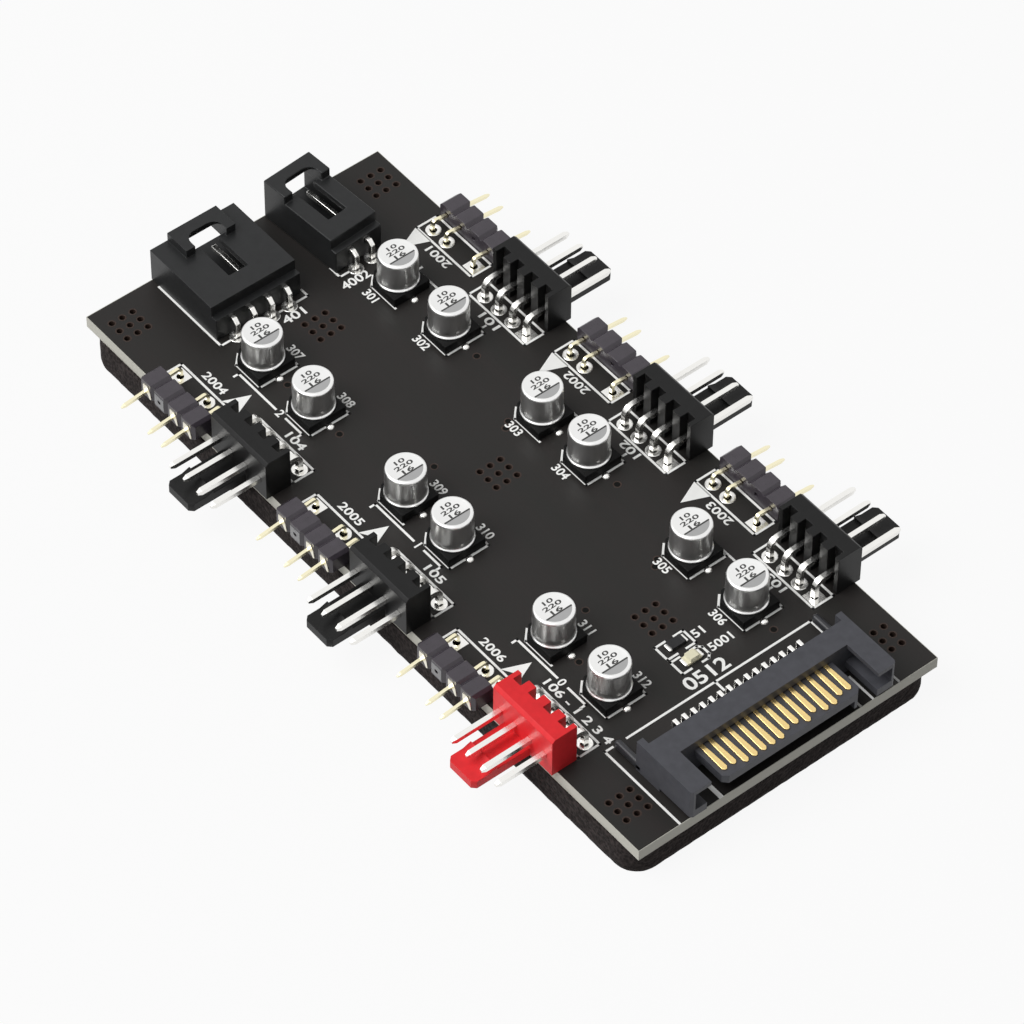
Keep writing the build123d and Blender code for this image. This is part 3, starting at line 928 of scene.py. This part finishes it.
def tail_middles(node):
    """Where a CAD node's pins go through the board's top, along the row."""
    floor = BOARD_LOW.z + TAIL_BAND
    low = [vert.co for vert in NODES[node].data.vertices if vert.co.z < floor]
    ends = sorted(low, key=lambda end: end.y)
    tails = [[ends[0]]]
    for before, end in zip(ends, ends[1:]):
        if end.y - before.y > TAIL_GAP:
            tails.append([])
        tails[-1].append(end)
    middles = []
    for tail in tails:
        x = (min(end.x for end in tail) + max(end.x for end in tail)) / 2
        y = (min(end.y for end in tail) + max(end.y for end in tail)) / 2
        middles.append(Vector((x, y, BOARD_TOP)))
    return middles


class HUB_OT_fan_ports(HubPiece, bpy.types.Operator):
    """Fan port housings and their bent pins"""

    bl_idname = "hub.fan_ports"
    bl_label = "Fan ports"

    def build(self, sizes, colours):
        black = moulding("black_moulding", colours.black, HOUSING_GLOSS)
        red = moulding("red_moulding", colours.red, HOUSING_GLOSS, 1.08)
        tin = plated("tin_plate", colours.tin, PLATE_GLOSS)
        low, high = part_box("fan_port_1_pins")
        side = sizes.fan_pin
        reach = high.y - HALF_WIDTH
        setback = HALF_WIDTH - low.y - side / 2
        height = high.z - side / 2 - BOARD_TOP
        run = (reach, height, 0.0, setback, sizes.pin_bend, sizes.pin_point)
        for number in PORTS:
            name = f"fan_port_{number}"
            housing = f"{name}_housing"
            finish = (red, "red_plastic") if number == RED_PORT else (black, "black_plastic")
            seat(softened(housing, sizes.edge_round), f"{name}_shell", *finish, housing)
            pins = bmesh.new()
            for column in FAN_PIN_COLUMNS:
                bent_pin(pins, column * MM, side, *run)
            settle(pins, port_frame(housing, side_of(number)))
            seat(pins, f"{name}_bent_pins", tin, "tin_plate", f"{name}_pins")


class HUB_OT_light_ports(HubPiece, bpy.types.Operator):
    """Lighting port bodies, their bent pins, painted highlight plates beside the pins and a painted lit face
    at each unused position
    """

    bl_idname = "hub.light_ports"
    bl_label = "Lighting ports"

    def build(self, sizes, colours):
        violet = moulding("violet_moulding", colours.strip, (0.24, 0.34), specular=0.5)
        gold = plated("pin_gold", colours.pale_gold, PLATE_GLOSS)
        # Cream metal plates beside the pins: a painted highlight for the lit patch and glint on the bodies'
        # faces.
        glint_material = plated("pin_glint_plate", colours.collar, SATIN_GLOSS)
        # Lighter grey copy of the body's moulding for the unused position's face: painted light where that
        # face is lit.
        grey = moulding("lit_face_moulding", colours.blank, SATIN_GLOSS, specular=0.5)
        low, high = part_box("light_port_1_pins")
        body_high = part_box("light_port_1_body")[1]
        side = sizes.light_pin
        slope = math.atan2(sizes.light_drop, high.y - low.y)
        reach = high.y - HALF_WIDTH - side / 2 * math.sin(slope)
        setback = HALF_WIDTH - low.y - side / 2
        front = body_high.y - HALF_WIDTH
        run = (reach, sizes.light_rise, sizes.light_drop, setback, sizes.light_bend, sizes.pin_point)
        upright = Matrix.Rotation(math.radians(-90.0), 4, "X")
        spot = shift(self.blank_column * MM, front, self.blank_height * MM) @ upright
        for number in PORTS:
            name = f"light_port_{number}"
            body = f"{name}_body"
            place = port_frame(body, side_of(number))
            strip = softened(body, sizes.edge_round * self.edge_share)
            seat(strip, f"{name}_strip", violet, "strip_plastic", body)
            pins = bmesh.new()
            plates = bmesh.new()
            for column in LIGHT_PIN_COLUMNS:
                bent_pin(pins, column * MM, side, *run)
                self.collar_shape(plates, column * MM, front, sizes.collar)
            settle(pins, place)
            settle(plates, place)
            seat(pins, f"{name}_bent_pins", gold, "gold_plate", f"{name}_pins")
            seat(plates, f"{name}_pin_glints", glint_material, "gold_plate")
            # Plate of painted light on the unused position's face, with its hole.
            blank = square_plate(self.blank_half * MM, self.blank_hole * MM, sizes.collar / 2)
            settle(blank, place @ spot)
            seat(blank, f"{name}_painted_lit_face", grey, "strip_plastic")

    edge_share = 0.8
    blank_column = 1.27
    blank_height = 1.15
    blank_half = 0.85
    blank_hole = 0.3
    # Outline of the painted highlight plate beside a pin, on the body's face.
    collar_outline = (
        (0.42, 1.95), (-0.35, 2.05), (-0.85, 1.35), (-1.05, 0.3), (-0.8, 0.2), (-0.35, 0.85), (0.42, 1.0)
    )

    def collar_shape(self, bm, column, front, thickness):
        """Flat plate beside a pin, against the body's face: a painted highlight for the lit patch and glint
        on that face.
        """
        corners = [Vector((column + x * MM, front, z * MM)) for x, z in self.collar_outline]
        face = bm.faces.new([bm.verts.new(corner) for corner in corners])
        extruded(bm, face, Vector((0.0, thickness, 0.0)))


class HUB_OT_inputs(HubPiece, bpy.types.Operator):
    """Latched signal inputs and their pins"""

    bl_idname = "hub.inputs"
    bl_label = "Signal inputs"

    def build(self, sizes, colours):
        dark = moulding("input_moulding", colours.inputs, SATIN_GLOSS, specular=0.25)
        tin = plated("input_tin", colours.tin, PLATE_GLOSS)
        for name in ("fan_signal_input", "light_signal_input"):
            housing = merged_copy(f"{name}_housing")
            round_edges(housing, window_corners(housing), sizes.window_round, segments=6)
            round_edges(housing, crisp_edges(housing), sizes.edge_round * self.edge_share)
            seat(housing, f"{name}_shroud", dark, "input_plastic", f"{name}_housing")
            pins = softened(f"{name}_pins", sizes.edge_round)
            seat(pins, f"{name}_bent_pins", tin, "tin_plate", f"{name}_pins")

    edge_share = 1.4


class HUB_OT_power_socket(HubPiece, bpy.types.Operator):
    """Power socket housing and its gold contacts"""

    bl_idname = "hub.power_socket"
    bl_label = "Power socket"

    def build(self, sizes, colours):
        grey = moulding("socket_moulding", colours.socket, (0.38, 0.5), specular=0.25)
        low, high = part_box("power_socket_housing")
        back = low.x + self.fin_depth * MM
        gold = contact_plating(colours, back)
        shell = merged_copy("power_socket_housing")
        round_edges(shell, self.nose_corners(shell, high), self.nose_round * MM, segments=3)
        round_edges(shell, crisp_edges(shell), sizes.edge_round)
        seat(shell, "power_socket_shell", grey, "socket_plastic", "power_socket_housing")
        blades = merged_copy("power_socket_contacts")
        self.narrow_contacts(blades, back)
        round_edges(blades, crisp_edges(blades), sizes.edge_round * self.blade_share)
        seat(blades, "power_socket_blades", gold, "gold_plate", "power_socket_contacts")
        feet = bmesh.new()
        foot = Vector((self.foot_length, self.foot_width, self.foot_height)) * MM
        for y in (low.y + foot.y / 2, high.y - foot.y / 2):
            cuboid(feet, shift(back - foot.x / 2, y, BOARD_TOP + foot.z / 2), *foot)
        round_edges(feet, crisp_edges(feet), self.foot_round * MM, segments=4)
        # The feet get a darker copy of the socket's moulding: painted shade on the low bars behind the
        # housing.
        foot_shade_colour = shaded(colours.socket, self.foot_dark)
        dark = moulding("socket_foot_shade", foot_shade_colour, SATIN_GLOSS, specular=0.4)
        seat(feet, "power_socket_feet", dark, "socket_plastic")

    fin_depth = 1.0
    blade_share = 0.7
    # How much darker the feet are painted than the socket: painted shade.
    foot_dark = 0.4
    foot_length = 4.8
    foot_width = 0.85
    foot_height = 1.2
    foot_round = 0.35
    nose_round = 0.6
    contact_pitch = 1.27
    contact_width = 0.92
    tongue_share = 0.84
    tail_share = 0.62
    neck_share = 0.4

    @staticmethod
    def nose_corners(bm, high):
        """Upright edges at the outer front corner of the far guide arm."""
        reach = 0.5 * MM
        shallow = 20.0
        found = []
        for edge in crisp_edges(bm, shallow):
            first, last = (vert.co for vert in edge.verts)
            ahead = min(first.x, last.x) > high.x - reach
            outer = min(first.y, last.y) > high.y - reach
            if ahead and outer and abs(first.z - last.z) > MM:
                found.append(edge)
        return found

    def narrow_contacts(self, bm, back):
        """Draws the contacts in: a little on the tongue, more where they leave the housing."""
        split_at(bm, back)
        pitch = self.contact_pitch * MM
        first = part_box("power_socket_contacts")[0].y + self.contact_width / 2 * MM
        for vert in bm.verts:
            middle = first + round((vert.co.y - first) / pitch) * pitch
            share = self.tongue_share
            if abs(vert.co.x - back) < MERGE:
                share = self.neck_share
            elif vert.co.x < back:
                share = self.tail_share
            vert.co.y = middle + (vert.co.y - middle) * share


class HUB_OT_capacitors(HubPiece, bpy.types.Operator):
    """Capacitor cans with crimped necks, printed tops, bases and terminals"""

    bl_idname = "hub.capacitors"
    bl_label = "Capacitors"

    def build(self, sizes, colours):
        metal = plated("can_aluminium", colours.aluminium, (0.25, 0.36), 2500.0)
        figures = printed("can_print", colours.print)
        shade = printed("can_segment", colours.segment)
        black = moulding("base_moulding", shaded(colours.black, 0.5), (0.5, 0.65), specular=0.12)
        low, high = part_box("capacitor_01_can")
        foot, top = low.z - BOARD_TOP, high.z - BOARD_TOP
        for number in CAPACITORS:
            name = f"capacitor_{number:02d}"
            spot = Matrix.Translation(on_board(*can_middle(number)))
            can = bmesh.new()
            turned(can, self.profile(foot, top), sizes.can_steps)
            made = (
                (can, "drawn_can", metal, f"{name}_can"),
                (self.segment_shape(top, sizes.can_ink), "top_segment", shade, None),
                (self.figure_shapes(top, sizes.can_ink), "top_figures", figures, None),
            )
            for bm, label, material, node in made:
                bmesh.ops.transform(bm, matrix=spot, verts=bm.verts)
                seat(bm, f"{name}_{label}", material, "can_aluminium", node, sharp=40.0)
            base = f"{name}_base"
            seat(softened(base, sizes.edge_round), f"{name}_seat", black, "black_plastic", base)
        feet = softened("capacitor_terminals", sizes.edge_round / 2)
        tin = plated("foot_tin", colours.tin, (0.2, 0.3))
        seat(feet, "capacitor_feet", tin, "tin_plate", "capacitor_terminals")

    lower_outline = (
        (0.0, 0.0), (2.5, 0.0), (2.57, 0.03), (2.6, 0.09), (2.585, 0.16), (2.53, 0.225), (2.46, 0.285),
        (2.41, 0.37), (2.385, 0.5), (2.39, 0.68), (2.415, 0.88), (2.44, 1.08), (2.45, 1.3),
    )
    upper_outline = (
        (2.45, -0.45), (2.435, -0.28), (2.385, -0.13), (2.29, -0.035), (2.17, 0.0), (2.07, -0.012),
        (2.0, -0.03),
    )
    top_dip = -0.03
    flat_radius = 1.98
    chord = 0.85
    chord_width = 0.2

    def profile(self, foot, top):
        """Can outline from the middle of its underside, over the flared rim, to its dished top."""
        lower = [(radius * MM, foot + rise * MM) for radius, rise in self.lower_outline]
        upper = [(radius * MM, top + rise * MM) for radius, rise in self.upper_outline]
        return [*lower, *upper, (0.0, top + self.top_dip * MM)]

    def segment_shape(self, top, ink):
        """Printed segment on a can's top."""
        bm = bmesh.new()
        bmesh.ops.create_circle(bm, cap_ends=True, segments=40, radius=self.flat_radius * MM)
        split_at(bm, self.chord * MM, clear_inner=True)
        extruded(bm, bm.faces[:][0], Vector((0.0, 0.0, ink)))
        settle(bm, shift(0.0, 0.0, top + self.top_dip * MM))
        return bm

    figure_rows = (("16", 0.42, 1.5), ("220", -0.38, 2.5), ("10", -1.15, 1.3))
    figure_height = 0.62

    def figure_shapes(self, top, ink):
        """Dark line and plain figures on a can's top."""
        bm = bmesh.new()
        surface = top + self.top_dip * MM
        half = math.sqrt(self.flat_radius ** 2 - self.chord ** 2)
        middle = shift(self.chord * MM, 0.0, surface + ink)
        cuboid(bm, middle, self.chord_width * MM, 2 * half * MM, 2 * ink)
        turn = Matrix.Rotation(math.radians(90.0), 4, "Z")
        for figures, x, wide in self.figure_rows:
            place = shift(x * MM, 0.0, surface + ink / 2) @ turn
            lettering(bm, figures, place, ink, self.figure_height * MM, wide * MM)
        return bm


class HUB_OT_status_lamp(HubPiece, bpy.types.Operator):
    """Status lamp and its resistor"""

    bl_idname = "hub.status_lamp"
    bl_label = "Status lamp"

    def build(self, sizes, colours):
        resin = moulding("lamp_resin", colours.lens, (0.25, 0.35), 1.05, 0.4)
        lamp = softened("status_led", self.lamp_round * MM)
        seat(lamp, "status_lamp", resin, "lens_resin", "status_led")
        glaze = moulding("chip_glaze", colours.chip, SATIN_GLOSS)
        chip = softened("led_resistor", self.chip_round * MM)
        seat(chip, "lamp_resistor", glaze, "chip_ceramic", "led_resistor")
        ends = bmesh.new()
        long, rise = self.solder_length * MM, self.solder_rise * MM
        for node in ("status_led", "led_resistor"):
            low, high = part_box(node)
            wide = high.x - low.x - self.solder_inset * MM
            for y in (low.y, high.y):
                cuboid(ends, shift((low.x + high.x) / 2, y, BOARD_TOP + rise / 2), wide, long, rise)
        round_edges(ends, crisp_edges(ends), self.solder_round * MM, segments=3)
        seat(ends, "lamp_solder", plated("lamp_tin", colours.tin, SOLDER_GLOSS), "tin_plate")

    lamp_round = 0.06
    chip_round = 0.04
    solder_length = 0.75
    solder_rise = 0.3
    solder_inset = 0.1
    solder_round = 0.12


class HUB_OT_stage(bpy.types.Operator):
    """Pale floor, soft light and camera"""

    bl_idname = "hub.stage"
    bl_label = "Stage"

    def execute(self, context):
        colours, stage = context.scene.hub_colours, context.scene.hub_stage
        bm = bmesh.new()
        bmesh.ops.create_grid(bm, x_segments=1, y_segments=1, size=4.0)
        mesh = bpy.data.meshes.new("floor")
        bm.to_mesh(mesh)
        bm.free()
        mesh.materials.append(pale_floor(colours, stage.floor_white))
        floor = bpy.data.objects.new("floor", mesh)
        context.scene.collection.objects.link(floor)
        self.world(context, stage.world)
        self.lamp(context, stage)
        self.camera(context, stage)
        context.scene.view_settings.view_transform = "Standard"
        return {"FINISHED"}

    @staticmethod
    def world(context, strength):
        """Even white surround, full white where the camera or a reflection sees it."""
        world = bpy.data.worlds.new("white_surround")
        context.scene.world = world
        world.use_nodes = True
        tree = world.node_tree
        light = next(node for node in tree.nodes if node.type == "BACKGROUND").inputs
        light["Color"].default_value = (1.0, 1.0, 1.0, 1.0)
        seen = add_node(tree, "MapRange", {"Value": seen_mask(tree), "To Min": strength, "To Max": 1.0})
        feed(tree, light["Strength"], seen.outputs["Result"])

    @staticmethod
    def lamp(context, stage):
        """Large soft lamp in front of the board, a little towards the input end."""
        data = bpy.data.lights.new("soft_key", "AREA")
        data.shape = "DISK"
        data.size = stage.key_size
        data.energy = stage.key
        lamp = bpy.data.objects.new("soft_key", data)
        lamp.location = stage.key_place
        aim = Vector((0.0, 0.0, BOARD_TOP)) - lamp.location
        lamp.rotation_euler = aim.to_track_quat("-Z", "Y").to_euler()
        context.scene.collection.objects.link(lamp)

    @staticmethod
    def camera(context, stage):
        """Camera at the photograph's viewing angle."""
        turn, rise = stage.azimuth, stage.elevation
        back = Vector((math.sin(turn) * math.cos(rise), -math.cos(turn) * math.cos(rise), math.sin(rise)))
        level = Vector((math.cos(turn), math.sin(turn), 0.0))
        upright = back.cross(level)
        cosine, sine = math.cos(stage.roll), math.sin(stage.roll)
        right = level * cosine + upright * sine
        up = upright * cosine - level * sine
        place = Vector((0.0, 0.0, BOARD_TOP)) + right * stage.right - up * stage.down + back * stage.distance
        data = bpy.data.cameras.new("camera")
        data.lens = stage.lens
        data.sensor_width = 36.0
        camera = bpy.data.objects.new("camera", data)
        axes = Matrix((right, up, back)).transposed().to_4x4()
        camera.matrix_world = Matrix.Translation(place) @ axes
        context.scene.collection.objects.link(camera)
        context.scene.camera = camera


class HUB_PT_panel(bpy.types.Panel):
    """Lists the hub's pieces"""

    bl_idname = "HUB_PT_panel"
    bl_label = "Fan and lighting hub"
    bl_space_type = "VIEW_3D"
    bl_region_type = "UI"
    bl_category = "Hub"

    def draw(self, _context):
        for operator in OPERATORS:
            self.layout.operator(operator.bl_idname)


GROUPS = (HubSizes, HubColours, HubStage)
OPERATORS = (
    HUB_OT_foam_pad, HUB_OT_board, HUB_OT_marking, HUB_OT_pads, HUB_OT_fan_ports, HUB_OT_light_ports,
    HUB_OT_inputs, HUB_OT_power_socket, HUB_OT_capacitors, HUB_OT_status_lamp, HUB_OT_stage,
)


def register():
    for item in (*GROUPS, *OPERATORS, HUB_PT_panel):
        bpy.utils.register_class(item)
    bpy.types.Scene.hub_sizes = PointerProperty(type=HubSizes)
    bpy.types.Scene.hub_colours = PointerProperty(type=HubColours)
    bpy.types.Scene.hub_stage = PointerProperty(type=HubStage)


def unregister():
    del bpy.types.Scene.hub_stage
    del bpy.types.Scene.hub_colours
    del bpy.types.Scene.hub_sizes
    for item in reversed((*GROUPS, *OPERATORS, HUB_PT_panel)):
        bpy.utils.unregister_class(item)


def main():
    register()
    bpy.ops.hub.foam_pad()
    bpy.ops.hub.board()
    bpy.ops.hub.marking()
    bpy.ops.hub.pads()
    bpy.ops.hub.fan_ports()
    bpy.ops.hub.light_ports()
    bpy.ops.hub.inputs()
    bpy.ops.hub.power_socket()
    bpy.ops.hub.capacitors()
    bpy.ops.hub.status_lamp()
    bpy.ops.hub.stage()


if __name__ == "__main__":
    main()
